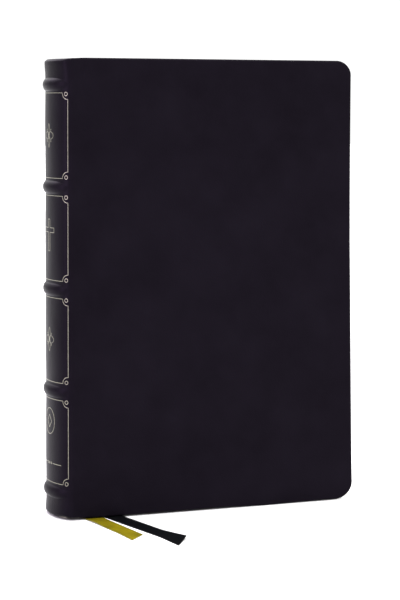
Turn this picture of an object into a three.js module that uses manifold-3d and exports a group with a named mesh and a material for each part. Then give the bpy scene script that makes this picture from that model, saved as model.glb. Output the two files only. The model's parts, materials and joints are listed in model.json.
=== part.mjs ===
// A large-print bible bound in soft black leather, standing on its tail.
// Millimetres. +X runs from the spine to the fore edge, -Y is the front cover, +Z is up.
// The origin is the middle of the book's footprint on the surface that it stands on.
import * as THREE from 'three';
import { mergeVertices } from 'three/addons/utils/BufferGeometryUtils.js';
import Module from 'manifold-3d';

const wasm = await Module();
wasm.setup();

// Driving dimensions of the closed book
const bookHeight = 239;
const bookDepth = 168.8;
const bookThickness = 35;
const gap = 0.3;

// Rounded spine: its outer face is half an oval that runs into both covers at the hinges
const spineBulge = 7;
const bandHeight = 1.8;
const bandWidth = 7.2;
const bandCount = 5;
const bandPitch = 52.9;
const bandSinkDepth = 2.8;
const bandHalfSpan = 16.9;
const leatherThickness = 0.8;
const linerThickness = 0.7;
const ovalSteps = 16;
const bandSteps = 4;

// Covers
const coverThickness = 3;
const coverCornerRadius = 10;
const boardThickness = 1;
const turnInWidth = 14;
const turnInThickness = 0.6;
const jointWidth = 7;
const jointThickness = 1.6;
const pastedownThickness = 0.3;

// The front cover's tail edge clears the ribbons that lie under it, then comes down to the table
const tailClearance = 0.9;
const tailClearanceEnd = 90;
const tailClearanceFade = 106;

// Text block
const square = 3.5;
const pageCornerRadius = 8;
const leafThickness = 0.3;
const sectionCount = 16;
const channelGap = 0.4;
const mullThickness = 0.3;
const liningThickness = 0.5;
const spineTurnInLength = 12;
const spineTurnInThickness = 0.7;
const linerHalfWidth = 14;
const liningHalfWidth = 13.5;
const mullMargin = 15;
const liningMargin = 1;
const bandBeadDepth = 1.9;
const bandBeadHeight = 1.6;
const bandSkirtHeight = 8;

// Ribbons: a flat satin strip each, glued in at the head and cut at a slant at the end
const ribbonWidth = 9.6;
const ribbonThickness = 0.3;

// Places worked out from the dimensions above
const foreEdgeX = bookDepth / 2;
const frontY = -bookThickness / 2;
const hingeX = -bookDepth / 2 + bandHeight + spineBulge;
const blockHalfThickness = bookThickness / 2 - coverThickness - gap;
const pageTail = square;
const pageHead = bookHeight - square;

// Depths behind the spine's outer face: liner, leather turned in behind it, lining, mull, pages
const linerDepth = leatherThickness + gap;
const turnInDepth = linerDepth + linerThickness + gap;
const liningDepth = turnInDepth + spineTurnInThickness + gap;
const mullDepth = liningDepth + liningThickness + gap;
const blockDepth = mullDepth + mullThickness + gap;

const leatherBlack = { color: 0x1f1c21, roughness: 0.55 };
const boardGrey = { color: 0x8c8478, roughness: 0.9 };
const paperCream = { color: 0xefe8d6, roughness: 0.85 };
const endpaperBlack = { color: 0x17161a, roughness: 0.8 };
const clothWhite = { color: 0xd9d5c9, roughness: 0.95 };
const bandCloth = { color: 0xb59a45, roughness: 0.7 };
const satinGold = { color: 0xa09114, roughness: 0.45 };
const satinBlack = { color: 0x191c1c, roughness: 0.45 };

const book = new THREE.Group();

function addPiece(name, geometry, look) {
  const mesh = new THREE.Mesh(geometry, new THREE.MeshStandardMaterial({ metalness: 0, ...look }));
  mesh.name = name;
  book.add(mesh);
}

function toSolid(geometry) {
  const bare = geometry.clone();
  bare.deleteAttribute('normal');
  bare.deleteAttribute('uv');
  const merged = mergeVertices(bare, 1e-4);
  return new wasm.Manifold(new wasm.Mesh({
    numProp: 3,
    vertProperties: new Float32Array(merged.attributes.position.array),
    triVerts: new Uint32Array(merged.index.array),
  }));
}

function toGeometry(solid) {
  const { vertProperties, triVerts } = solid.getMesh();
  const geometry = new THREE.BufferGeometry();
  geometry.setAttribute('position', new THREE.BufferAttribute(vertProperties, 3));
  geometry.setIndex(new THREE.BufferAttribute(triVerts, 1));
  return geometry;
}

// An outline drawn in X and Z, made solid from lowY to highY
function plate(outline, lowY, highY) {
  const geometry = new THREE.ExtrudeGeometry(outline, {
    depth: highY - lowY, bevelEnabled: false, curveSegments: 4,
  });
  return geometry.rotateX(Math.PI / 2).translate(0, highY, 0);
}

function box(lowX, highX, lowY, highY, lowZ, highZ) {
  const geometry = new THREE.BoxGeometry(highX - lowX, highY - lowY, highZ - lowZ);
  return geometry.translate((lowX + highX) / 2, (lowY + highY) / 2, (lowZ + highZ) / 2);
}

// A solid standing upright on an outline drawn in X and Y
function column(points, lowZ, highZ) {
  const geometry = new THREE.ExtrudeGeometry(new THREE.Shape(points), {
    depth: highZ - lowZ, bevelEnabled: false,
  });
  return geometry.translate(0, 0, lowZ);
}

// X of the spine's outer face at y, moved towards the fore edge by a depth
function spineX(y, depth) {
  return hingeX + depth - spineBulge * Math.sqrt(1 - (y / frontY) ** 2);
}

// A wall that follows the back of the spine between two depths behind its outer face
function backWall(nearDepth, farDepth, halfWidth, lowZ, highZ) {
  const curve = (depth) => Array.from({ length: ovalSteps + 1 }, (_, i) => {
    const y = halfWidth * (2 * i / ovalSteps - 1);
    return new THREE.Vector2(spineX(y, depth), y);
  });
  return column([...curve(nearDepth), ...curve(farDepth).reverse()], lowZ, highZ);
}

// A wall of even thickness around the spine from hinge to hinge, between two insets from its outer face
function shellWall(outerInset, innerInset, lowZ, highZ) {
  const curve = (inset) => Array.from({ length: ovalSteps + 1 }, (_, i) => {
    const angle = Math.PI * (i / ovalSteps - 0.5);
    return new THREE.Vector2(hingeX - (spineBulge - inset) * Math.cos(angle),
      (-frontY - inset) * Math.sin(angle));
  });
  return column([...curve(outerInset), ...curve(innerInset).reverse()], lowZ, highZ);
}

// An oval plate with a half-round rim: its rim is the band, and it sinks in at both joints
function bandPlate(z, shrink) {
  const outline = new THREE.Shape();
  outline.absellipse(hingeX, 0, spineBulge + bandHeight - bandSinkDepth, bandHalfSpan - bandSinkDepth,
    0, Math.PI * 2, false);
  const flat = 0.02;
  const geometry = new THREE.ExtrudeGeometry(outline, {
    depth: flat, curveSegments: ovalSteps, bevelThickness: (bandWidth - flat) / 2 - shrink,
    bevelSize: bandSinkDepth - shrink, bevelSegments: bandSteps,
  });
  return geometry.translate(0, 0, z - flat / 2);
}

function bandHeights() {
  const middle = bookHeight / 2;
  return Array.from({ length: bandCount }, (_, i) => middle + (i - (bandCount - 1) / 2) * bandPitch);
}

function spineLeather() {
  let leather = toSolid(shellWall(0, leatherThickness, 0, bookHeight));
  for (const z of bandHeights()) {
    const outside = shellWall(-bandHeight - 1, leatherThickness, z - bandWidth, z + bandWidth);
    leather = leather.add(toSolid(bandPlate(z, 0)).intersect(toSolid(outside)));
    leather = leather.subtract(toSolid(bandPlate(z, leatherThickness)));
  }
  // The leather folds over the liner at head and tail and is turned in behind it
  for (const end of [0, bookHeight]) {
    const capZ = Math.abs(end - leatherThickness);
    const turnInZ = Math.abs(end - spineTurnInLength);
    const farDepth = turnInDepth + spineTurnInThickness;
    const cap = backWall(0, farDepth, linerHalfWidth, Math.min(end, capZ), Math.max(end, capZ));
    const low = Math.min(end, turnInZ);
    const high = Math.max(end, turnInZ);
    const turnIn = backWall(turnInDepth, farDepth, linerHalfWidth, low, high);
    leather = leather.add(toSolid(cap)).add(toSolid(turnIn));
  }
  const keep = box(-foreEdgeX - 1, hingeX - gap / 3, frontY - 1, -frontY + 1, -1, bookHeight + 1);
  return toGeometry(leather.intersect(toSolid(keep)));
}

function addSpine() {
  addPiece('spine_leather', spineLeather(), leatherBlack);
  const liner = backWall(linerDepth, linerDepth + linerThickness, linerHalfWidth,
    leatherThickness + gap, bookHeight - leatherThickness - gap);
  addPiece('spine_liner', liner, boardGrey);
  bandHeights().forEach((z, i) => {
    const outside = backWall(-bandHeight - 1, linerDepth - gap, linerHalfWidth, z - bandWidth, z + bandWidth);
    const band = toSolid(bandPlate(z, leatherThickness + gap)).intersect(toSolid(outside));
    addPiece(`raised_band_${i + 1}`, toGeometry(band), boardGrey);
  });
}

// A cover's outline: square at the hinge, round at both fore corners, its tail edge raised if asked
function coverOutline(inset, hingeInset, tailRise) {
  const left = hingeX + hingeInset;
  const right = foreEdgeX - inset;
  const low = inset;
  const high = bookHeight - inset;
  const radius = Math.max(coverCornerRadius - inset, 1);
  const outline = new THREE.Shape();
  outline.moveTo(left, low + tailRise);
  if (tailRise > 0) {
    outline.lineTo(hingeX + tailClearanceEnd, low + tailRise);
    outline.lineTo(hingeX + tailClearanceFade, low);
  }
  outline.lineTo(right - radius, low);
  outline.absarc(right - radius, low + radius, radius, -Math.PI / 2, 0, false);
  outline.absarc(right - radius, high - radius, radius, 0, Math.PI / 2, false);
  outline.lineTo(left, high);
  outline.closePath();
  return outline;
}

// A cover is a leather skin turned in around a thin board, with a pastedown closing the inside.
// Depths are measured from the cover's outer face towards the pages.
function addCover(name, side, tailRise) {
  const slab = (outline, nearDepth, farDepth) => {
    const nearY = side * (bookThickness / 2 - nearDepth);
    const farY = side * (bookThickness / 2 - farDepth);
    return plate(outline, Math.min(nearY, farY), Math.max(nearY, farY));
  };
  const boardDepth = leatherThickness + gap;
  const borderDepth = coverThickness - turnInThickness;
  const pocketInset = leatherThickness;
  const boardInset = leatherThickness + gap;
  const boardStart = jointWidth + 1;

  const joint = new THREE.Shape([
    new THREE.Vector2(hingeX - 1, -1), new THREE.Vector2(hingeX + jointWidth, -1),
    new THREE.Vector2(hingeX + jointWidth, bookHeight + 1), new THREE.Vector2(hingeX - 1, bookHeight + 1),
  ]);
  const innerOutline = coverOutline(turnInWidth, turnInWidth, 0);
  const leather = toSolid(slab(coverOutline(0, gap * 2 / 3, tailRise), 0, coverThickness))
    .subtract(toSolid(slab(joint, jointThickness, coverThickness + 1)))
    .subtract(toSolid(slab(coverOutline(pocketInset, boardStart, tailRise), leatherThickness, borderDepth)))
    .subtract(toSolid(slab(innerOutline, borderDepth - 0.1, coverThickness + 1)));
  addPiece(`${name}_leather`, toGeometry(leather), leatherBlack);

  const boardOutline = coverOutline(boardInset, boardStart + gap, tailRise);
  const board = slab(boardOutline, boardDepth, boardDepth + boardThickness);
  addPiece(`${name}_board`, board, boardGrey);
  const pastedown = slab(coverOutline(turnInWidth + gap, turnInWidth + gap, 0),
    borderDepth, borderDepth + pastedownThickness);
  addPiece(`${name}_pastedown`, pastedown, endpaperBlack);
}

// One leaf or folded section: its back follows the rounded spine, so the fore edge is hollow.
// outerY is the side of it that lies further from the middle of the book.
function pageOutline(outerY) {
  const backX = spineX(outerY, blockDepth);
  const right = backX + foreEdgeX - square - spineX(blockHalfThickness, blockDepth);
  const radius = pageCornerRadius;
  const outline = new THREE.Shape();
  outline.moveTo(backX, pageTail);
  outline.lineTo(right - radius, pageTail);
  outline.absarc(right - radius, pageTail + radius, radius, -Math.PI / 2, 0, false);
  outline.absarc(right - radius, pageHead - radius, radius, 0, Math.PI / 2, false);
  outline.lineTo(backX, pageHead);
  outline.closePath();
  return outline;
}

// Leaves and sections from the front cover to the back cover, with the ribbons' channel half way
function addTextBlock() {
  const numbers = Array.from({ length: sectionCount }, (_, i) => String(i + 1).padStart(2, '0'));
  const sections = numbers.map((number) => `section_${number}`);
  const leaves = { front_flyleaf: endpaperBlack, presentation_leaf: paperCream, title_leaf: paperCream,
    map_leaf: paperCream, back_flyleaf: endpaperBlack };
  const stack = ['front_flyleaf', 'presentation_leaf', 'title_leaf', ...sections, 'map_leaf', 'back_flyleaf'];
  const leafCount = Object.keys(leaves).length;
  const free = 2 * blockHalfThickness - leafCount * leafThickness - (stack.length - 1) * gap - channelGap;
  const sectionThickness = free / sectionCount;
  let y = -blockHalfThickness;
  let channelY = 0;
  for (const name of stack) {
    const thickness = name in leaves ? leafThickness : sectionThickness;
    const outerY = Math.max(-y, y + thickness);
    addPiece(name, plate(pageOutline(outerY), y, y + thickness), leaves[name] ?? paperCream);
    y += thickness + gap;
    if (name === sections[sectionCount / 2 - 1]) {
      channelY = y + (channelGap - gap) / 2;
      y += channelGap;
    }
  }
  return channelY;
}

// Mull, paper lining and the two sewn bands on the rounded back of the text block
function addBackLinings() {
  const wall = (nearDepth, farDepth, lowZ, highZ) => (
    backWall(nearDepth, farDepth, liningHalfWidth, lowZ, highZ));
  const mullEnd = mullDepth + mullThickness;
  addPiece('mull', wall(mullDepth, mullEnd, mullMargin, bookHeight - mullMargin), clothWhite);
  addPiece('spine_lining', wall(liningDepth, liningDepth + liningThickness,
    pageTail + liningMargin, pageHead - liningMargin), boardGrey);

  const beadEnd = mullDepth + bandBeadDepth;
  const headLow = pageHead + gap;
  const headHigh = headLow + bandBeadHeight;
  const head = toSolid(wall(mullDepth, beadEnd, headLow, headHigh))
    .add(toSolid(wall(mullDepth, mullEnd, headLow - bandSkirtHeight, headHigh)));
  addPiece('headband', toGeometry(head), bandCloth);
  const tailHigh = pageTail - gap;
  const tailLow = tailHigh - bandBeadHeight;
  const tail = toSolid(wall(mullDepth, beadEnd, tailLow, tailHigh))
    .add(toSolid(wall(mullDepth, mullEnd, tailLow, tailHigh + bandSkirtHeight)));
  addPiece('tailband', toGeometry(tail), bandCloth);
}

// A ribbon hangs down its channel, turns forward under the tail and lies on the table.
// The route gives the middle of the strip as distance forward of the channel and height;
// lean is its drift towards the fore edge for each millimetre forward.
function ribbon(channelX, channelY, route, lean, slant) {
  const half = ribbonThickness / 2;
  const points = route.map(([forward, z]) => new THREE.Vector2(channelY - forward, z));
  const normals = points.map((point, i) => {
    const before = points[Math.max(i - 1, 0)];
    const after = points[Math.min(i + 1, points.length - 1)];
    const along = after.clone().sub(before).normalize();
    return new THREE.Vector2(-along.y, along.x);
  });
  const near = points.map((point, i) => point.clone().addScaledVector(normals[i], half));
  const far = points.map((point, i) => point.clone().addScaledVector(normals[i], -half));
  const side = new THREE.Shape([...near, ...far.reverse()]);
  const geometry = new THREE.ExtrudeGeometry(side, { depth: ribbonWidth, bevelEnabled: false });
  const endY = points.at(-1).x;
  const position = geometry.attributes.position;
  for (let i = 0; i < position.count; i += 1) {
    const across = position.getZ(i) / ribbonWidth;
    const y = position.getX(i);
    const cut = y < endY + 0.01 ? slant * (1 - across) : 0;
    const x = channelX + ribbonWidth * (across - 0.5) + lean * (channelY - y);
    position.setXYZ(i, x, y - cut, position.getY(i));
  }
  return geometry;
}

function addRibbons(channelY) {
  const bend = [[0, 3.8], [0.15, 2.7], [0.7, 1.6], [1.6, 0.75], [2.8, 0.27], [4.2, 0.16]];
  const goldRoute = [[0, 233], ...bend, [20, 0.16], [34, 0.16], [48, 0.16], [63, 0.16]];
  const blackRoute = [[0, 233], ...bend, [20, 0.16], [40, 0.16], [60, 0.16], [80, 0.16]];
  addPiece('gold_ribbon', ribbon(hingeX + 10.2, channelY, goldRoute, 0.09, 10.5), satinGold);
  addPiece('black_ribbon', ribbon(hingeX + 20.2, channelY, blackRoute, 0.155, 13), satinBlack);
}

addSpine();
addCover('front_cover', -1, tailClearance);
addCover('back_cover', 1, 0);
addRibbons(addTextBlock());
addBackLinings();

export default book;
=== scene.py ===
"""The looks of a large-print bible in soft black leather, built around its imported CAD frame.

Metres, in the CAD's frame: +X from the spine to the fore edge, -Y out of the front cover, +Z up.
"""
import json
import math
import random

import bpy
import numpy as np
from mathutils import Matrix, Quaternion, Vector, noise


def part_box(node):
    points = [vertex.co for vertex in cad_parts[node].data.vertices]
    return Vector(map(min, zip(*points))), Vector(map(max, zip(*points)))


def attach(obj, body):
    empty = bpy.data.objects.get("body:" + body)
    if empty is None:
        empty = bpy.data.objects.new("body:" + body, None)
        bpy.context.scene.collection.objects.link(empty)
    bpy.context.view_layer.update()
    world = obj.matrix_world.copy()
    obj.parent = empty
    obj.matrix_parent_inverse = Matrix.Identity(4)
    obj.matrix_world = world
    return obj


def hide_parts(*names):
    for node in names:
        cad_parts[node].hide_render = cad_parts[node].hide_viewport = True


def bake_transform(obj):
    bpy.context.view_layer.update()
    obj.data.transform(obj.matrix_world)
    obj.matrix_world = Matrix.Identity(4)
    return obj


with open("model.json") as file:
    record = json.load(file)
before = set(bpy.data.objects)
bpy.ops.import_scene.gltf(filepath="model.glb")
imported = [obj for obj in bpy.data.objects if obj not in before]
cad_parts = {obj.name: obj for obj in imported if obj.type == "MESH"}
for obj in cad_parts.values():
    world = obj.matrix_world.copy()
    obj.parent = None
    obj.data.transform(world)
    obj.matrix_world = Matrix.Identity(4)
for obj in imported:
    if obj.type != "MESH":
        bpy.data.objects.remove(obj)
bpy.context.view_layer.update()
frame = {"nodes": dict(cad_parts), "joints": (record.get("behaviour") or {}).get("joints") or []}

MM = 0.001
HINGES = {joint["name"]: joint for joint in frame["joints"]}
FRONT_AXIS = Vector(HINGES["front_cover_hinge"]["pos_m"])

# The book's shape, read off the CAD boxes
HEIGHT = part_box("back_cover_leather")[1].z
HALF_THICK = -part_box("front_cover_leather")[0].y
FORE_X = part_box("front_cover_leather")[1].x
HINGE_X = FRONT_AXIS.x
LEATHER = 0.8 * MM
APEX_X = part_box("spine_liner")[0].x - LEATHER - 0.3 * MM
BAND_Z = [sum(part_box(f"raised_band_{i}")[k].z for k in (0, 1)) / 2 for i in range(1, 6)]

# The spine's outer face is half an oval, from the apex to the hinges
BULGE = HINGE_X - APEX_X
OVAL_ANGLES = np.linspace(0, math.pi / 2, 400)
OVAL_LENGTHS = np.concatenate([[0], np.cumsum(np.hypot(
    np.diff(BULGE * np.cos(OVAL_ANGLES)), np.diff(HALF_THICK * np.sin(OVAL_ANGLES))))])
ARC_END = float(OVAL_LENGTHS[-1])

# Raised bands: the rims of oval plates, which sink in at both joints
BAND_DEPTH = HINGE_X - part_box("spine_leather")[0].x + 0.2 * MM
BAND_HALF_SPAN = 16.9 * MM
BAND_SINK = 2.8 * MM
BAND_HALF_W = 3.6 * MM

# The soft cover's fore edge stands a little out of square and is slightly hollow
FORE_SKEW = 1.5 * MM
FORE_HOLLOW = 1.0 * MM

# How far the skin's tail edge stands off the table: at the spine's middle, at its front shoulder,
# over the ribbons that lie under the front cover, and at the fore edge
SPINE_RISE = 0.8 * MM
SHOULDER_RISE = 1.6 * MM
TAIL_RISE = 0.65 * MM
FORE_RISE = 0.25 * MM

# How far the spine's head edge stands below the full height
HEAD_DIP = 0.5 * MM

# Where the spine's skin ends and a cover's skin starts, as X and as a length from the apex
SKIN_BORDER_X = HINGE_X - 1.2 * MM
SKIN_BORDER = float(np.interp(math.acos((HINGE_X - SKIN_BORDER_X) / BULGE), OVAL_ANGLES, OVAL_LENGTHS))
SKIN_END = ARC_END + FORE_X - HINGE_X

# Radii of the round corners at the fore edge
HEAD_CORNER = 8.6 * MM
TAIL_CORNER = 10.3 * MM
PAGE_CORNER = 8 * MM


# ---------------------------------------------------------------- camera

def make_camera():
    """The view from the spine side, a little above the middle of the book."""
    aim = Vector((2.18 * MM, 0, 133.83 * MM))
    azimuth, elevation, distance = math.radians(-22.84), math.radians(4.28), 1.0913
    roll = math.radians(0.17)
    back = Vector((math.sin(azimuth) * math.cos(elevation),
                   -math.cos(azimuth) * math.cos(elevation), math.sin(elevation)))
    camera = bpy.data.objects.new("camera", bpy.data.cameras.new("camera"))
    camera.location = aim + back * distance
    upright = (-back).to_track_quat("-Z", "Y")
    camera.rotation_euler = (upright @ Quaternion((0, 0, 1), roll)).to_euler()
    camera.data.sensor_width = 36
    camera.data.lens = 122.27
    camera.data.shift_y = -0.0717
    camera.data.clip_start = 0.05
    camera.data.clip_end = 50
    bpy.context.scene.collection.objects.link(camera)
    bpy.context.scene.camera = camera


# ---------------------------------------------------------------- materials

class Nodes:
    """A short way to write a material's node tree."""

    def __init__(self, name):
        self.material = bpy.data.materials.new(name)
        self.material.use_nodes = True
        self.tree = self.material.node_tree
        self.shader = self.tree.nodes["Principled BSDF"]
        self.place = self.add("ShaderNodeTexCoord").outputs["Object"]

    def add(self, kind, **settings):
        node = self.tree.nodes.new(kind)
        for key, value in settings.items():
            setattr(node, key, value)
        return node

    def link(self, source, target):
        self.tree.links.new(source, target)

    def set(self, **values):
        for key, value in values.items():
            self.shader.inputs[key.replace("_", " ")].default_value = value

    def noise(self, scale, detail=3.0, rough=0.5, place=None):
        node = self.add("ShaderNodeTexNoise")
        node.inputs["Scale"].default_value = scale
        node.inputs["Detail"].default_value = detail
        node.inputs["Roughness"].default_value = rough
        self.link(place or self.place, node.inputs["Vector"])
        return node.outputs["Fac"]

    def cells(self, scale, feature="F1"):
        node = self.add("ShaderNodeTexVoronoi", feature=feature)
        node.inputs["Scale"].default_value = scale
        self.link(self.place, node.inputs["Vector"])
        return node.outputs["Distance"]

    def stretched(self, x, y, z):
        node = self.add("ShaderNodeMapping")
        node.inputs["Scale"].default_value = (x, y, z)
        self.link(self.place, node.inputs["Vector"])
        return node.outputs["Vector"]

    def ramp(self, source, stops):
        node = self.add("ShaderNodeValToRGB")
        elements = node.color_ramp.elements
        while len(elements) < len(stops):
            elements.new(0.5)
        for element, (at, color) in zip(elements, stops):
            element.position = at
            element.color = (*color, 1)
        self.link(source, node.inputs["Fac"])
        return node.outputs["Color"]

    def span(self, source, low, high):
        node = self.add("ShaderNodeMapRange")
        node.inputs["To Min"].default_value = low
        node.inputs["To Max"].default_value = high
        self.link(source, node.inputs["Value"])
        return node.outputs["Result"]

    def math(self, operation, a, b):
        node = self.add("ShaderNodeMath", operation=operation)
        for socket, value in zip(node.inputs, (a, b)):
            if isinstance(value, (int, float)):
                socket.default_value = value
            else:
                self.link(value, socket)
        return node.outputs["Value"]

    def mix(self, factor, a, b):
        node = self.add("ShaderNodeMix", data_type="RGBA")
        self.link(factor, node.inputs["Factor"])
        for key, value in (("A", a), ("B", b)):
            socket = [s for s in node.inputs if s.name == key and s.type == "RGBA"][0]
            if isinstance(value, tuple):
                socket.default_value = (*value, 1)
            else:
                self.link(value, socket)
        return [s for s in node.outputs if s.type == "RGBA"][0]

    def bump(self, height, strength, distance, after=None):
        node = self.add("ShaderNodeBump")
        node.inputs["Strength"].default_value = strength
        node.inputs["Distance"].default_value = distance
        self.link(height, node.inputs["Height"])
        if after is not None:
            self.link(after, node.inputs["Normal"])
        return node.outputs["Normal"]


def leather_material():
    """Soft black cowhide: fine pebbled grain, faint creases and a purple-black cast."""
    m = Nodes("black_leather")
    pebbles = m.cells(1500, "SMOOTH_F1")
    pores = m.noise(3800, 2)
    mottle = m.noise(38, 5, 0.6)
    color = m.ramp(mottle, [(0.3, (0.0029, 0.0022, 0.0037)), (0.7, (0.0046, 0.0036, 0.0059))])
    worn = m.span(m.cells(900), 0.0, 1.0)
    color = m.mix(m.math("MULTIPLY", worn, 0.2), color, (0.004, 0.0032, 0.005))
    m.link(color, m.shader.inputs["Base Color"])
    m.link(m.span(m.noise(60, 4, 0.6), 0.28, 0.40), m.shader.inputs["Roughness"])
    fine = m.bump(pores, 0.25, 0.04 * MM)
    grain = m.bump(pebbles, 0.5, 0.10 * MM, fine)
    soft = m.bump(m.noise(55, 3, 0.5), 0.5, 0.5 * MM, grain)
    m.link(soft, m.shader.inputs["Normal"])
    m.set(Specular_IOR_Level=0.028, Specular_Tint=(0.86, 0.68, 1.0, 1))
    return m.material


def foil_material():
    """Pale gold foil pressed into leather: a metal film broken up by the grain beneath it."""
    m = Nodes("gold_foil")
    breaks = m.noise(2600, 3, 0.6)
    color = m.ramp(breaks, [(0.3, (0.119, 0.116, 0.088)), (0.62, (0.234, 0.227, 0.178))])
    m.link(color, m.shader.inputs["Base Color"])
    m.link(m.span(m.noise(900, 3), 0.28, 0.5), m.shader.inputs["Roughness"])
    m.link(m.bump(m.cells(1500, "SMOOTH_F1"), 0.4, 0.05 * MM), m.shader.inputs["Normal"])
    m.set(Metallic=0.85)
    return m.material


def paper_material():
    """Thin uncoated book paper, faintly mottled."""
    m = Nodes("page_paper")
    fibre = m.noise(1400, 4, 0.65)
    color = m.ramp(m.noise(45, 4, 0.6), [(0.3, (0.41, 0.375, 0.285)), (0.7, (0.47, 0.44, 0.345))])
    m.link(color, m.shader.inputs["Base Color"])
    m.link(m.span(fibre, 0.78, 0.92), m.shader.inputs["Roughness"])
    m.link(m.bump(fibre, 0.15, 0.03 * MM), m.shader.inputs["Normal"])
    m.set(Specular_IOR_Level=0.3)
    return m.material


def gilt_material():
    """Burnished gilt on the leaf edges, streaked along each leaf."""
    m = Nodes("gilt_edge")
    leaves = m.noise(1.0, 2, 0.5, m.stretched(120, 9000, 120))
    color = m.ramp(leaves, [(0.32, (0.17, 0.115, 0.035)), (0.6, (0.34, 0.255, 0.10))])
    m.link(color, m.shader.inputs["Base Color"])
    m.link(m.span(leaves, 0.42, 0.26), m.shader.inputs["Roughness"])
    m.link(m.bump(leaves, 0.6, 0.05 * MM), m.shader.inputs["Normal"])
    m.set(Metallic=0.9)
    return m.material


def endpaper_material():
    """Matt black endpaper with a laid texture."""
    m = Nodes("endpaper")
    laid = m.noise(1.0, 2, 0.5, m.stretched(60, 60, 1600))
    color = m.ramp(m.noise(70, 4, 0.6), [(0.3, (0.012, 0.011, 0.013)), (0.7, (0.021, 0.019, 0.023))])
    m.link(color, m.shader.inputs["Base Color"])
    m.link(m.span(m.noise(500, 3), 0.7, 0.85), m.shader.inputs["Roughness"])
    m.link(m.bump(laid, 0.3, 0.03 * MM), m.shader.inputs["Normal"])
    m.set(Specular_IOR_Level=0.3)
    return m.material


def satin_material(name, dark, light, gloss):
    """Woven satin ribbon: fine ribs across the width and a soft lengthwise lustre."""
    m = Nodes(name)
    ribs = m.noise(1.0, 1, 0.4, m.stretched(500, 4200, 500))
    warp = m.noise(1.0, 1, 0.4, m.stretched(5200, 260, 5200))
    color = m.ramp(m.noise(90, 3, 0.5), [(0.3, dark), (0.7, light)])
    color = m.mix(m.math("MULTIPLY", ribs, 0.35), color, tuple(c * 0.45 for c in dark))
    m.link(color, m.shader.inputs["Base Color"])
    m.link(m.span(warp, 0.34, 0.5), m.shader.inputs["Roughness"])
    weave = m.bump(warp, 0.35, 0.05 * MM, m.bump(ribs, 0.4, 0.06 * MM))
    m.link(weave, m.shader.inputs["Normal"])
    m.set(Specular_IOR_Level=gloss)
    return m.material


def thread_material(name, color):
    """Twisted cotton thread of the head and tail bands."""
    m = Nodes(name)
    twist = m.noise(1.0, 2, 0.5, m.stretched(2600, 2600, 5200))
    m.link(m.ramp(twist, [(0.3, tuple(c * 0.55 for c in color)), (0.65, color)]),
           m.shader.inputs["Base Color"])
    m.link(m.bump(twist, 0.5, 0.05 * MM), m.shader.inputs["Normal"])
    m.set(Roughness=0.7, Sheen_Weight=0.2)
    return m.material


def board_material(name, dark, light, scale):
    """Grey board or kraft paper: short fibres in a flat sheet."""
    m = Nodes(name)
    fibre = m.noise(scale, 5, 0.7)
    m.link(m.ramp(fibre, [(0.3, dark), (0.7, light)]), m.shader.inputs["Base Color"])
    m.link(m.span(fibre, 0.8, 0.95), m.shader.inputs["Roughness"])
    m.link(m.bump(fibre, 0.3, 0.05 * MM), m.shader.inputs["Normal"])
    m.set(Specular_IOR_Level=0.2)
    return m.material


def mull_material():
    """Open-weave cotton stiffened with glue."""
    m = Nodes("mull")
    threads = m.math("MULTIPLY", m.noise(1.0, 1, 0.4, m.stretched(60, 1700, 60)),
                     m.noise(1.0, 1, 0.4, m.stretched(60, 60, 1700)))
    m.link(m.ramp(threads, [(0.2, (0.17, 0.16, 0.13)), (0.3, (0.30, 0.28, 0.24))]),
           m.shader.inputs["Base Color"])
    m.link(m.bump(threads, 0.6, 0.1 * MM), m.shader.inputs["Normal"])
    m.set(Roughness=0.9)
    return m.material


LOOK = {
    "leather": leather_material(),
    "gold_foil": foil_material(),
    "page_paper": paper_material(),
    "gilt_edge": gilt_material(),
    "endpaper": endpaper_material(),
    "gold_satin": satin_material("gold_satin", (0.105, 0.085, 0.0006), (0.19, 0.155, 0.002), 0.2),
    "black_satin": satin_material("black_satin", (0.0016, 0.0018, 0.0022), (0.003, 0.0033, 0.0038), 0.05),
    "band_gold": thread_material("band_gold_thread", (0.26, 0.185, 0.045)),
    "band_black": thread_material("band_black_thread", (0.02, 0.018, 0.022)),
    "board": board_material("grey_board", (0.09, 0.08, 0.07), (0.16, 0.15, 0.125), 700),
    "kraft_paper": board_material("kraft_paper", (0.12, 0.08, 0.045), (0.18, 0.135, 0.08), 500),
    "mull": mull_material(),
}


# ---------------------------------------------------------------- mesh helpers

def new_piece(name, points, faces, looks, face_looks=None, smooth_degrees=None):
    """A mesh object from points and faces, with its materials."""
    mesh = bpy.data.meshes.new(name)
    mesh.from_pydata([tuple(p) for p in points], [], faces)
    for look in looks:
        mesh.materials.append(LOOK[look])
    if face_looks is not None:
        mesh.polygons.foreach_set("material_index", face_looks)
    mesh.validate()
    mesh.update()
    piece = bpy.data.objects.new(name, mesh)
    bpy.context.scene.collection.objects.link(piece)
    if smooth_degrees is not None:
        mesh.polygons.foreach_set("use_smooth", [True] * len(mesh.polygons))
        mesh.set_sharp_from_angle(angle=math.radians(smooth_degrees))
    return piece


def tube_faces(stations, around, cap_start=True, cap_end=True):
    """Quads over stations of closed loops with the same number of points, and flat end caps."""
    faces = []
    for i in range(stations - 1):
        for j in range(around):
            k = (j + 1) % around
            faces.append((i * around + j, i * around + k, (i + 1) * around + k, (i + 1) * around + j))
    if cap_start:
        faces.append(tuple(range(around - 1, -1, -1)))
    if cap_end:
        faces.append(tuple((stations - 1) * around + j for j in range(around)))
    return faces


def outward(points, faces):
    """The faces turned over if the closed body that they make is inside out."""
    p = np.array([tuple(v) for v in points])
    volume = 0.0
    for face in faces:
        a = p[face[0]]
        for j in range(1, len(face) - 1):
            volume += float(np.dot(a, np.cross(p[face[j]], p[face[j + 1]])))
    return faces if volume > 0 else [tuple(reversed(face)) for face in faces]


def spaced(low, high, step):
    """Evenly spaced values from low to high, about a step apart."""
    return np.linspace(low, high, max(2, round((high - low) / step) + 1)).tolist()


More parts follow.
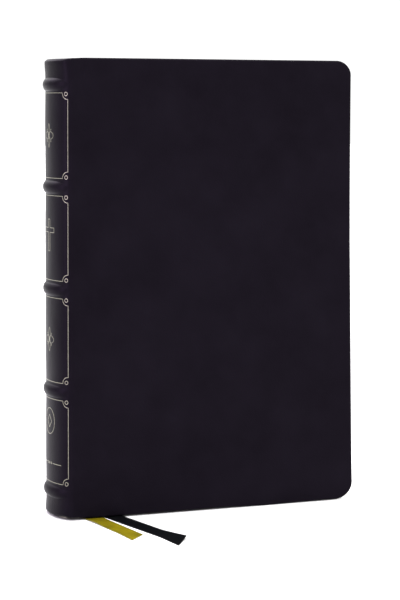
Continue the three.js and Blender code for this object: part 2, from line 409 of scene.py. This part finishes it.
def smooth_step(value, low, high):
    """0 below low, 1 above high and an eased rise between them."""
    t = min(1.0, max(0.0, (value - low) / (high - low)))
    return t * t * (3 - 2 * t)


# ---------------------------------------------------------------- the leather's outer surface

def profile(s):
    """Point and outward normal in X and Y, s along the leather from the spine's centre line.

    Positive s runs to the front cover and negative s to the back cover.
    """
    side = -1 if s >= 0 else 1
    run = abs(s)
    if run > ARC_END:
        return Vector((HINGE_X + run - ARC_END, side * HALF_THICK, 0)), Vector((0, side, 0))
    angle = float(np.interp(run, OVAL_LENGTHS, OVAL_ANGLES))
    base = Vector((HINGE_X - BULGE * math.cos(angle), side * HALF_THICK * math.sin(angle), 0))
    normal = Vector((-math.cos(angle) / BULGE, side * math.sin(angle) / HALF_THICK, 0))
    return base, normal.normalized()


def band_rise(s, z):
    """How far the raised bands lift the leather at this place on the spine."""
    gap = min(abs(z - band_z) for band_z in BAND_Z) / BAND_HALF_W
    if gap >= 1 or abs(s) >= ARC_END:
        return 0.0
    sink = BAND_SINK * (1 - math.sqrt(1 - gap * gap))
    depth, span = BAND_DEPTH - sink, BAND_HALF_SPAN - sink
    base, normal = profile(s)
    place = Vector(((base.x - HINGE_X) / depth, base.y / span))
    way = Vector((normal.x / depth, normal.y / span))
    inside = place.dot(way) ** 2 - way.dot(way) * (place.dot(place) - 1)
    rise = (math.sqrt(inside) - place.dot(way)) / way.dot(way) if inside > 0 else 0.0
    if rise <= 0:
        return 0.0
    fillet = 0.14 * MM
    return 0.5 * (rise + math.sqrt(rise * rise + fillet * fillet)) - 0.5 * fillet


def spine_puff(z):
    """The leather is drawn in beside the bands, fuller between them, and flares at head and tail."""
    ends = min(z, HEIGHT - z)
    flare = 0.35 * MM * (1 - smooth_step(ends, 2 * MM, 9 * MM))
    gap = min(abs(z - band_z) for band_z in BAND_Z)
    return flare + 0.15 * MM * smooth_step(gap, BAND_HALF_W, 18 * MM) * smooth_step(ends, 10 * MM, 24 * MM)


def head_dip(s):
    """How far the head edge stands below the full height along the skin."""
    return HEAD_DIP * (1 - smooth_step(abs(s), 14 * MM, 30 * MM))


def tail_rise(s):
    """How far the tail edge stands off the table along the skin."""
    if s < 0:
        return SPINE_RISE * (1 - smooth_step(-s, 4 * MM, 22 * MM))
    rise = SPINE_RISE + (SHOULDER_RISE - SPINE_RISE) * smooth_step(s, 5 * MM, 15 * MM)
    rise -= (SHOULDER_RISE - TAIL_RISE) * smooth_step(s, 20 * MM, 31 * MM)
    rise -= TAIL_RISE * smooth_step(s, 108 * MM, 128 * MM)
    return rise + FORE_RISE * smooth_step(s, 125 * MM, 150 * MM)


def end_shift(s, z):
    """How far the skin moves up near the tail, or down near the head, at this place on the spine."""
    reach = 14 * MM
    up = tail_rise(s) * (1 - smooth_step(z, 0, reach))
    down = head_dip(s) * (1 - smooth_step(HEIGHT - z, 0, reach))
    return up - down


def spine_ease(s):
    """Fades the spine's unevenness out towards the covers."""
    return 1 - smooth_step(abs(s), SKIN_BORDER - 4 * MM, SKIN_BORDER)


def softness(place, size, height):
    """A slow unevenness of the leather, the same on each run."""
    return height * noise.noise(place / size)


# ---------------------------------------------------------------- spine skin

def spine_heights(rim):
    """Heights over the skin's outer face, close together on the raised bands."""
    heights = []
    for low, high in zip([rim] + [z + BAND_HALF_W + 1 * MM for z in BAND_Z],
                         [z - BAND_HALF_W - 1 * MM for z in BAND_Z] + [HEIGHT - rim]):
        heights += spaced(low, high, 1.6 * MM)
    for z in BAND_Z:
        heights += spaced(z - BAND_HALF_W - 0.8 * MM, z + BAND_HALF_W + 0.8 * MM, 0.28 * MM)
    return sorted(heights)


def spine_loop(s, heights, rim):
    """The skin's section at s, as (offset, z): its face, head rim, folded inside and tail rim."""
    turn_in = 12 * MM
    fold = 1.2 * MM
    depth = 2.7 * MM - 1.2 * MM * smooth_step(abs(s), SKIN_BORDER - 6 * MM, SKIN_BORDER)
    inner = -depth + 0.6 * MM
    turns = [math.pi * i / 12 for i in range(1, 12)]
    loop = [(band_rise(s, z), z) for z in heights]
    loop += [(depth / 2 * (math.cos(a) - 1), HEIGHT - rim + rim * math.sin(a)) for a in turns]
    loop += [(-depth, HEIGHT - rim), (-depth, HEIGHT - turn_in + 0.3 * MM)]
    loop += [(-depth + 0.15 * MM, HEIGHT - turn_in), (inner, HEIGHT - turn_in),
             (inner, HEIGHT - fold), (-LEATHER, HEIGHT - fold), (-LEATHER, fold),
             (inner, fold), (inner, turn_in), (-depth + 0.15 * MM, turn_in)]
    loop += [(-depth, turn_in - 0.3 * MM), (-depth, rim)]
    return loop + [(depth / 2 * (math.cos(a) - 1), rim - rim * math.sin(a)) for a in reversed(turns)]


def spine_skin():
    """The leather over the rounded spine, folded over the liner at head and tail."""
    rim = 1.9 * MM
    heights = spine_heights(rim)
    columns = spaced(-SKIN_BORDER, SKIN_BORDER, 0.55 * MM)
    points = []
    for s in columns:
        base, normal = profile(s)
        ease = spine_ease(s)
        for offset, z in spine_loop(s, heights, rim):
            place = base + Vector((0, 0, z + end_shift(s, z)))
            soft = 0.0
            if offset > -0.2 * MM:
                soft = (softness(place, 14 * MM, 0.10 * MM) + spine_puff(z)) * ease
            points.append(place + normal * (offset + soft))
    around = len(points) // len(columns)
    faces = outward(points, tube_faces(len(columns), around))
    skin = new_piece("spine_skin", points, faces, ["leather"], smooth_degrees=50)
    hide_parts("spine_leather")
    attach(skin, "book_block")


# ---------------------------------------------------------------- cover skins

def corner_rise(x, right, radius):
    """How far a rounded corner lifts the edge of a sheet at x, when its straight end is at right."""
    into = x - (right - radius)
    return radius - math.sqrt(max(radius ** 2 - into ** 2, 0)) if into > 0 else 0.0


def cover_thickness(x):
    """The cover from its face to its inside: thin at the joint, full beyond it."""
    joint = 1.3 * MM * smooth_step(x, SKIN_BORDER_X, HINGE_X + 2 * MM)
    joint += LEATHER * (1 - smooth_step(x, SKIN_BORDER_X, HINGE_X + 2 * MM))
    return joint + 1.55 * MM * smooth_step(x, HINGE_X + 6 * MM, HINGE_X + 8.5 * MM)


def fore_edge_shift(z):
    """How far the fore edge stands out at this height."""
    up = 1 - 2 * z / HEIGHT
    return FORE_SKEW * up + FORE_HOLLOW * (up * up - 0.5)


def cover_runs():
    """Places along the skin, close together at the joint and at the round corners."""
    runs = spaced(SKIN_BORDER, SKIN_BORDER + 4.5 * MM, 0.25 * MM)
    runs += spaced(SKIN_BORDER + 5 * MM, SKIN_BORDER + 12 * MM, 0.7 * MM)
    runs += spaced(SKIN_BORDER + 16 * MM, SKIN_END - TAIL_CORNER, 5 * MM)[:-1]
    steps = 22
    runs += [SKIN_END - TAIL_CORNER * (1 - math.sin(math.pi / 2 * i / steps)) for i in range(steps)]
    return runs + [SKIN_END - 0.02 * MM]


def cover_loop(low, high, thick, rim):
    """A cover's section as (offset, z): its face, head edge, inside and tail edge."""
    across = 40
    levels = [low + rim + (high - low - 2 * rim) * i / across for i in range(across + 1)]
    edge = []
    for i in range(1, 8):
        a = math.pi * i / 8
        inward = -thick / 2 * (1 - math.copysign(abs(math.cos(a)) ** 0.8, math.cos(a)))
        edge.append((inward, rim * math.sin(a) ** 0.8))
    loop = [(0.0, z) for z in levels]
    loop += [(offset, high - rim + out) for offset, out in edge]
    loop += [(-thick, z) for z in reversed(levels)]
    return loop + [(offset, low + rim - out) for offset, out in reversed(edge)]


def cover_skin(side, name, body):
    """One cover's leather: its face, its round edges and the turned-in inside."""
    rim = 1.2 * MM
    runs = cover_runs()
    points = []
    for s in runs:
        base, normal = profile(-side * s)
        x = base.x
        low = corner_rise(x, FORE_X, TAIL_CORNER) + tail_rise(-side * s)
        high = HEIGHT - corner_rise(x, FORE_X, HEAD_CORNER) - head_dip(s)
        thick = cover_thickness(x)
        edge_in = max(0.0, x - (FORE_X - rim)) / rim
        round_off = math.sqrt(max(1 - edge_in ** 2, 0.0004))
        valley = 0.16 * MM * math.exp(-((x - HINGE_X - 5 * MM) / (2.2 * MM)) ** 2)
        ease = smooth_step(s, SKIN_BORDER, SKIN_BORDER + 6 * MM)
        for offset, z in cover_loop(low, high, thick, rim):
            offset = -thick / 2 + (offset + thick / 2) * round_off
            place = base + Vector((fore_edge_shift(z) * smooth_step(x, 0, FORE_X), 0, z))
            soft = 0.0
            if offset > -0.3 * thick:
                soft = (softness(place, 45 * MM, 0.16 * MM) - 0.16 * MM) * ease - valley
            points.append(place + normal * (offset + soft))
    around = len(points) // len(runs)
    faces = outward(points, tube_faces(len(runs), around))
    skin = new_piece(name, points, faces, ["leather"], smooth_degrees=50)
    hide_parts(f"{body}_leather")
    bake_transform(skin)


# ---------------------------------------------------------------- pages

def sheet_stations(start, right, radius, bend):
    """Stations along X: close together over the first stretch of length bend from start and at the round
    corners.
    """
    stations = spaced(start, start + bend, 1.2 * MM) if bend else [start]
    stations += spaced(stations[-1] + 8 * MM, right - radius, 12 * MM)
    steps = 10
    stations += [right - radius * (1 - math.sin(math.pi / 2 * i / steps)) for i in range(1, steps + 1)]
    return stations


PAGE_LOOKS = ("page_paper", "gilt_edge")

# How far a stack of leaves reaches into the gap on each side of its CAD section
PAGE_SWELL = 0.135 * MM

# How unevenly the leaves of a stack are cut
PAGE_TRIM = 0.11 * MM


def stack_faces(points, stations, leaves):
    """The faces of a stack, and a material index for each: 0 on its flat sides, 1 on its edges."""
    around = 4 * leaves
    last = (stations - 1) * around
    faces = tube_faces(stations, around, cap_end=False)
    for j in range(2 * leaves - 1):
        faces.append((last + j, last + j + 1, last + around - 2 - j, last + around - 1 - j))
    flat = {2 * leaves - 1, around - 1}
    looks_of = []
    for index in range(len(faces)):
        on_side = index < last and index % around in flat
        looks_of.append(0 if on_side or index == last else 1)
    return outward(points, faces), looks_of


def paper_stack(name, node, leaves, seed, bend=0.0, looks=PAGE_LOOKS):
    """A stack of leaves in the place of one CAD section or leaf, each leaf cut a hair differently."""
    draw = random.Random(seed)
    low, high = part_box(node)
    levels = np.linspace(low.y - PAGE_SWELL, high.y + PAGE_SWELL, leaves + 1)
    trims = [draw.uniform(0, PAGE_TRIM) for _ in range(leaves)]
    stations = sheet_stations(low.x, high.x, PAGE_CORNER, bend)
    points = []
    for x in stations:
        rise = corner_rise(x, high.x, PAGE_CORNER)
        pull = [trim * smooth_step(x, high.x - 4 * MM, high.x) for trim in trims]
        for k in range(leaves):
            for y in (levels[k], levels[k + 1]):
                points.append((x - pull[k], y, low.z + rise + trims[k]))
        for k in range(leaves - 1, -1, -1):
            for y in (levels[k + 1], levels[k]):
                points.append((x - pull[k], y, high.z - rise - trims[k]))
    faces, looks_of = stack_faces(points, len(stations), leaves)
    stack = new_piece(name, points, faces, list(looks), looks_of)
    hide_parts(node)
    return stack


def still_sections():
    """The sections that stay in the block, each a stack of eight thick leaves."""
    for number in range(3, 16):
        node = f"section_{number:02d}"
        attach(paper_stack(f"{node}_leaves", node, 8, number), "book_block")


def turning_paper(node, leaves, bend_end, looks=PAGE_LOOKS):
    """A leaf or section, made as a stack of leaves with close stations along its back by the gutter."""
    low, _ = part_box(node)
    stack = paper_stack(f"{node}_leaves" if leaves > 2 else f"{node}_sheet", node, leaves,
                        len(node) + leaves, bend_end - low.x + 2 * MM, looks)
    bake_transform(stack)


def turning_pages():
    """The leaves and sections next to the covers, each with close stations along the gutter."""
    bend_end = HINGE_X + 17 * MM
    black = ("endpaper", "gilt_edge")
    turning_paper("front_flyleaf", 2, bend_end, black)
    turning_paper("presentation_leaf", 2, bend_end)
    turning_paper("title_leaf", 2, bend_end)
    turning_paper("section_01", 8, bend_end)
    turning_paper("section_02", 8, bend_end)
    turning_paper("section_16", 8, bend_end)
    turning_paper("map_leaf", 2, bend_end)
    turning_paper("back_flyleaf", 2, bend_end, black)


def pastedown(side, body):
    """The endpaper glued inside a cover, over the leather's turned-in border."""
    inner = side * (HALF_THICK - cover_thickness(FORE_X))
    border = 9 * MM
    low = Vector((HINGE_X + border, 0, border))
    high = Vector((FORE_X - border, 0, HEIGHT - border))
    radius = 3 * MM
    stations = [low.x] + spaced(low.x + 2 * MM, high.x - radius, 6 * MM)
    stations += [high.x - radius * (1 - math.sin(math.pi / 2 * i / 6)) for i in range(1, 7)]
    rows = 24
    points = []
    for x in stations:
        rise = corner_rise(x, high.x, radius)
        for layer, order in ((0.02 * MM, range(rows + 1)), (-0.14 * MM, range(rows, -1, -1))):
            for i in order:
                z = low.z + rise + (high.z - low.z - 2 * rise) * i / rows
                place = Vector((x, inner + side * layer, z))
                if layer < 0:
                    place.y += side * softness(place, 30 * MM, 0.03 * MM)
                points.append(place)
    around = 2 * (rows + 1)
    faces = outward(points, tube_faces(len(stations), around))
    sheet = new_piece(f"{body}_endpaper", points, faces, ["endpaper"], smooth_degrees=40)
    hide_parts(f"{body}_pastedown")
    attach(sheet, body)


# ---------------------------------------------------------------- head and tail bands

def sewn_band(name, node, at_head):
    """A rolled bead of two-colour thread over the ends of the section backs."""
    low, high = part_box(node)
    radius = 0.9 * MM
    z = high.z - radius if at_head else low.z + radius
    half = high.y - 0.3 * MM
    wraps, per_wrap, wraps_per_color, ring = 48, 4, 3, 10
    stations = wraps * per_wrap + 1

    def middle(y):
        return Vector((low.x + BULGE + radius - BULGE * math.sqrt(1 - (y / HALF_THICK) ** 2), y, z))

    points = []
    for i in range(stations):
        y = half * (2 * i / (stations - 1) - 1)
        along = (middle(y + 0.1 * MM) - middle(y - 0.1 * MM)).normalized()
        out = Vector((-along.y, along.x, 0))
        swell = radius * (0.86 + 0.14 * abs(math.sin(math.pi * i / per_wrap)))
        for j in range(ring):
            a = 2 * math.pi * j / ring
            points.append(middle(y) + out * swell * math.cos(a) + Vector((0, 0, swell * math.sin(a))))
    faces = outward(points, tube_faces(stations, ring))
    looks_of = [(index // ring // per_wrap // wraps_per_color) % 2
                for index in range((stations - 1) * ring)] + [0, 0]
    band = new_piece(name, points, faces, ["band_gold", "band_black"], looks_of, 70)
    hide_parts(node)
    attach(band, "book_block")


# ---------------------------------------------------------------- ribbons

RIBBON_WIDTH = 9.6 * MM

# Points down each ribbon's middle as (forward of the gutter, up), in millimetres
RIBBON_HANGING = [(0, 233), (0, 200), (0, 150), (0, 100), (0, 50), (0, 20)]
RIBBON_BEND = [(0, 3.8), (0.15, 2.7), (0.7, 1.6), (1.6, 0.75), (2.8, 0.27), (4.2, 0.16)]

# The gap between the two middle sections, where both ribbons hang
CHANNEL_Y = (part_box("section_08")[1].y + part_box("section_09")[0].y) / 2


def ribbon_points(middle, route, slant, curl, columns):
    """Both faces of the strip around its middle line, its last 8 mm sheared to a slanting cut."""
    half = 0.14 * MM
    end = route[-1][0]
    points = []
    for i, place in enumerate(middle):
        along = (middle[min(i + 1, len(middle) - 1)] - middle[max(i - 1, 0)]).normalized()
        hanging = i < len(RIBBON_HANGING)
        normal = Vector((0, -along.z, along.y)) if hanging else Vector((1, 0, 0)).cross(along)
        normal.normalize()
        forward = route[i][0]
        end_share = smooth_step(forward, end - 8, end)
        for face in (1, -1):
            order = range(columns + 1) if face > 0 else range(columns, -1, -1)
            for k in order:
                across = k / columns - 0.5
                cut = slant * MM * (0.5 - across) * end_share
                lift = curl(forward, across) * MM
                edge = 1.0 + 0.25 * (abs(across) > 0.42)
                point = place + Vector((RIBBON_WIDTH * across, -cut, lift))
                points.append(point + normal * half * edge * face)
    return points


def ribbon(name, node, look, start_x, lean, slant, lying, curl):
    """A flat satin marker: down the gutter, round under the tail and forward over the table.

    curl(forward, across) is how far the strip stands off the table, all in millimetres but across,
    which is a share of the width.
    """
    route = RIBBON_HANGING + RIBBON_BEND + lying
    middle = []
    for forward, z in route:
        middle.append(Vector((start_x + lean * forward * MM, CHANNEL_Y - forward * MM, z * MM)))
    columns = 12
    points = ribbon_points(middle, route, slant, curl, columns)
    faces = outward(points, tube_faces(len(middle), 2 * (columns + 1)))
    strip = new_piece(name, points, faces, [look], smooth_degrees=50)
    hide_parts(node)
    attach(strip, "book_block")


def gold_curl(forward, across):
    """The spine-side edge stands up a little where the ribbon comes out from under the cover."""
    return 0.5 * math.exp(-((forward - 28) / 7) ** 2) * (0.5 - across) ** 2


def black_curl(forward, across):
    """The edge towards the fore edge curls up over the last stretch."""
    return 1.5 * max(0, (forward - 54) / 26) ** 1.3 * (0.5 + across) ** 2


def ribbons():
    """Both markers, with the points of their stretch on the table."""
    gold = [(x, 0.16 + 0.05 * (x > 10)) for x in range(8, 63, 4)] + [(63, 0.21)]
    black = [(x, 0.16 + 0.05 * (x > 10)) for x in range(8, 80, 4)] + [(80, 0.21)]
    gold_x, black_x = HINGE_X + 10.2 * MM, HINGE_X + 20.2 * MM
    ribbon("gold_ribbon_satin", "gold_ribbon", "gold_satin", gold_x, 0.09, 10.5, gold, gold_curl)
    ribbon("black_ribbon_satin", "black_ribbon", "black_satin", black_x, 0.155, 13, black, black_curl)


# ---------------------------------------------------------------- gold tooling

# Widths of the foil lines
FRAME_LINE = 0.36 * MM
ORNAMENT_LINE = 0.38 * MM


def on_spine(s, z, lift):
    """The point over the spine's leather at (s, z), lifted off it."""
    base, normal = profile(s)
    place = base + Vector((0, 0, z))
    soft = softness(place, 14 * MM, 0.10 * MM) + spine_puff(z)
    return place + normal * (band_rise(s, z) + soft * spine_ease(s) + lift)


def foil_line(path, width, closed=False):
    """Points and faces of a thin raised strip that follows path, given as (s, z), over the spine."""
    count = len(path)
    points = []
    for i in range(count):
        before = path[(i - 1) % count] if closed or i else path[i]
        after = path[(i + 1) % count] if closed or i < count - 1 else path[i]
        along = Vector((after[0] - before[0], after[1] - before[1]))
        along.normalize()
        side = Vector((-along.y, along.x)) * width / 2
        here = Vector(path[i])
        for share, lift in ((1.0, -0.05), (0.8, 0.07), (-0.8, 0.07), (-1.0, -0.05)):
            place = here + side * share
            points.append(on_spine(place.x, place.y, lift * MM))
    if closed:
        points += points[:4]
        count += 1
    faces = tube_faces(count, 4, not closed, not closed)
    return points, faces


def fine_path(path, step=1.0 * MM):
    """The same path with more points, so that it follows the curve of the spine."""
    result = [path[0]]
    for a, b in zip(path, path[1:]):
        length = math.dist(a, b)
        parts = max(1, math.ceil(length / step))
        result += [(a[0] + (b[0] - a[0]) * i / parts, a[1] + (b[1] - a[1]) * i / parts)
                   for i in range(1, parts + 1)]
    return result


def circle(s, z, radius, count, squeeze=1.0):
    """A closed ring of points, its height multiplied by squeeze."""
    turns = [2 * math.pi * i / count for i in range(count)]
    return [(s + radius * math.cos(a), z + radius * squeeze * math.sin(a)) for a in turns]


def petal(s, z, direction, length, width, count=22):
    """A pointed oval loop that starts at (s, z) and points along direction."""
    across = (-direction[1], direction[0])
    loop = []
    for i in range(count):
        u = 2 * math.pi * i / count
        along = length * (0.5 - 0.5 * math.cos(u))
        out = width / 2 * math.sin(u) * (1 + 0.25 * math.cos(u))
        loop.append((s + along * direction[0] + out * across[0], z + along * direction[1] + out * across[1]))
    return loop


def join_foil(name, strips):
    """One piece from several foil lines."""
    points, faces = [], []
    for strip_points, strip_faces in strips:
        base = len(points)
        points += strip_points
        turned = outward(strip_points, strip_faces)
        faces += [tuple(base + i for i in face) for face in turned]
    piece = new_piece(name, points, faces, ["gold_foil"], smooth_degrees=35)
    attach(piece, "book_block")


def panel_frame(low, high):
    """A ruled frame with a hollow notch and a small ring at each corner."""
    half = 17.3 * MM
    notch_w, notch_h = 3.5 * MM, 3.4 * MM
    ring_in, ring_down, ring_radius = 1.1 * MM, 0.6 * MM, 0.92 * MM
    corners = [(1, 1), (-1, 1), (-1, -1), (1, -1)]
    path = []
    strips = []
    for sx, sz in corners:
        z_edge = high if sz > 0 else low
        centre = (sx * half, z_edge)
        arc = []
        for i in range(9):
            a = math.pi / 2 * i / 8
            arc.append((centre[0] - sx * notch_w * math.sin(a), centre[1] - sz * notch_h * math.cos(a)))
        path += arc if sx * sz > 0 else arc[::-1]
        ring = circle(centre[0] - sx * ring_in, centre[1] - sz * ring_down, ring_radius, 16)
        strips.append(foil_line(ring, FRAME_LINE, closed=True))
    path = fine_path(path + path[:1])[:-1]
    strips.append(foil_line(path, FRAME_LINE, closed=True))
    return strips


def flower(z):
    """Four looped petals around a centre dot, with four small dots between them."""
    strips = [foil_line(petal(0, z, (0, d), 6.1 * MM, 2.6 * MM), 0.32 * MM, closed=True) for d in (1, -1)]
    strips += [foil_line(petal(0, z, (d, 0), 5.8 * MM, 3.8 * MM), 0.32 * MM, closed=True) for d in (1, -1)]
    strips += [foil_line(circle(a * 2.9 * MM, z + b * 2.9 * MM, 0.28 * MM, 8), 0.3 * MM, closed=True)
               for a in (1, -1) for b in (1, -1)]
    strips.append(foil_line(circle(0, z, 0.45 * MM, 10), 0.6 * MM, closed=True))
    return strips


def cross(z):
    """A plain outlined Latin cross."""
    arm, width, up, down = 6.2 * MM, 1.2 * MM, 5.6 * MM, 10.8 * MM
    outline = [(-width, z - down), (width, z - down), (width, z - width), (arm, z - width), (arm, z + width),
               (width, z + width), (width, z + up), (-width, z + up), (-width, z + width), (-arm, z + width),
               (-arm, z - width), (-width, z - width), (-width, z - down)]
    return [foil_line(fine_path(outline, 0.8 * MM)[:-1], ORNAMENT_LINE, closed=True)]


def lozenge(z):
    """A ring around a small lozenge."""
    diamond = [(0, z + 3.4 * MM), (2.8 * MM, z), (0, z - 3.4 * MM), (-2.8 * MM, z), (0, z + 3.4 * MM)]
    return [foil_line(circle(0, z, 6.4 * MM, 44, 1.06), ORNAMENT_LINE, closed=True),
            foil_line(fine_path(diamond, 0.6 * MM)[:-1], ORNAMENT_LINE, closed=True)]


def rule(z):
    """A short rule broken by three dots."""
    strips = [foil_line(fine_path([(a * MM, z), (b * MM, z)], 0.7 * MM), 0.42 * MM)
              for a, b in ((-12.5, -4.2), (4.2, 12.5))]
    strips += [foil_line(circle(s * MM, z, 0.5 * MM, 10), 0.4 * MM, closed=True) for s in (-2.4, 0, 2.4)]
    return strips


def tooling():
    """A frame and an ornament in each of the four panels between the raised bands."""
    above_band, below_band = 4.8 * MM, 4.3 * MM
    panels = [(BAND_Z[i] + above_band, BAND_Z[i + 1] - below_band) for i in range(4)]
    for number, (low, high) in enumerate(reversed(panels), 1):
        join_foil(f"tooled_frame_{number}", panel_frame(low, high))
    fourth, third, second, first = [(low + high) / 2 for low, high in panels]
    join_foil("tooled_flower_top", flower(first))
    join_foil("tooled_cross", cross(second + 4 * MM))
    join_foil("tooled_flower_middle", flower(third))
    join_foil("tooled_lozenge", lozenge(fourth + 10 * MM))
    join_foil("tooled_rule", rule(fourth - 12 * MM))


# ---------------------------------------------------------------- CAD pieces that stay

def dress_cad_nodes():
    """Gives the CAD pieces inside the binding their own materials."""
    kept = {"spine_liner": "board", "spine_lining": "kraft_paper", "mull": "mull",
            "front_cover_board": "board", "back_cover_board": "board"}
    kept.update({f"raised_band_{i}": "board" for i in range(1, 6)})
    for node, look in kept.items():
        piece = frame["nodes"][node]
        piece.data.materials.clear()
        piece.data.materials.append(LOOK[look])


# ---------------------------------------------------------------- stage

def area_light(name, place, aim, size, power, color):
    """A soft box at place that faces aim."""
    light = bpy.data.objects.new(name, bpy.data.lights.new(name, "AREA"))
    light.data.shape = "RECTANGLE"
    light.data.size, light.data.size_y = size
    light.data.energy = power
    light.data.color = color
    light.location = place
    light.rotation_euler = (Vector(place) - Vector(aim)).to_track_quat("Z", "Y").to_euler()
    bpy.context.scene.collection.objects.link(light)


def make_floor():
    """The plain pale floor, a large sheet at height 0."""
    mesh = bpy.data.meshes.new("floor")
    mesh.from_pydata([(-6, -4, 0), (6, -4, 0), (6, 9, 0), (-6, 9, 0)], [], [(0, 1, 2, 3)])
    floor = bpy.data.objects.new("floor", mesh)
    bpy.context.scene.collection.objects.link(floor)
    paper = Nodes("floor_paper")
    paper.link(paper.ramp(paper.noise(3, 2), [(0.3, (0.62, 0.62, 0.62)), (0.7, (0.64, 0.64, 0.64))]),
               paper.shader.inputs["Base Color"])
    paper.set(Roughness=0.9, Specular_IOR_Level=0.1)
    mesh.materials.append(paper.material)


def make_world():
    """White surroundings, brighter overhead and darker on the side that the spine faces."""
    world = bpy.data.worlds.new("studio")
    world.use_nodes = True
    tree = world.node_tree
    background = tree.nodes["Background"]
    background.inputs["Color"].default_value = (1, 1, 1, 1)
    direction = tree.nodes.new("ShaderNodeTexCoord")
    split = tree.nodes.new("ShaderNodeSeparateXYZ")
    tree.links.new(direction.outputs["Generated"], split.inputs["Vector"])

    def span(axis, start, end, low, high):
        node = tree.nodes.new("ShaderNodeMapRange")
        for key, value in (("From Min", start), ("From Max", end), ("To Min", low), ("To Max", high)):
            node.inputs[key].default_value = value
        tree.links.new(split.outputs[axis], node.inputs["Value"])
        return node.outputs["Result"]

    strength = tree.nodes.new("ShaderNodeMath")
    strength.operation = "MULTIPLY"
    tree.links.new(span("Z", 0, 1, 1.06, 5.0), strength.inputs[0])
    tree.links.new(span("X", -0.75, -0.4, 0.45, 1), strength.inputs[1])
    tree.links.new(strength.outputs["Value"], background.inputs["Strength"])
    bpy.context.scene.world = world


def stage():
    """Floor, surroundings and two soft boxes on the spine's side."""
    make_floor()
    make_world()
    bpy.context.scene.view_settings.view_transform = "Standard"
    area_light("side_softbox", (-0.95, -0.1, 0.25), (-0.08, 0, 0.12), (0.4, 0.9), 7, (0.9, 0.72, 1.0))
    area_light("top_softbox", (-0.36, 0.5, 0.7), (-0.08, 0, 0.15), (0.5, 0.5), 2.5, (0.9, 0.75, 1.0))


make_camera()
ribbons()
spine_skin()
cover_skin(-1, "front_cover_skin", "front_cover")
cover_skin(1, "back_cover_skin", "back_cover")
still_sections()
turning_pages()
pastedown(-1, "front_cover")
pastedown(1, "back_cover")
sewn_band("headband_threads", "headband", True)
sewn_band("tailband_threads", "tailband", False)
tooling()
dress_cad_nodes()
stage()
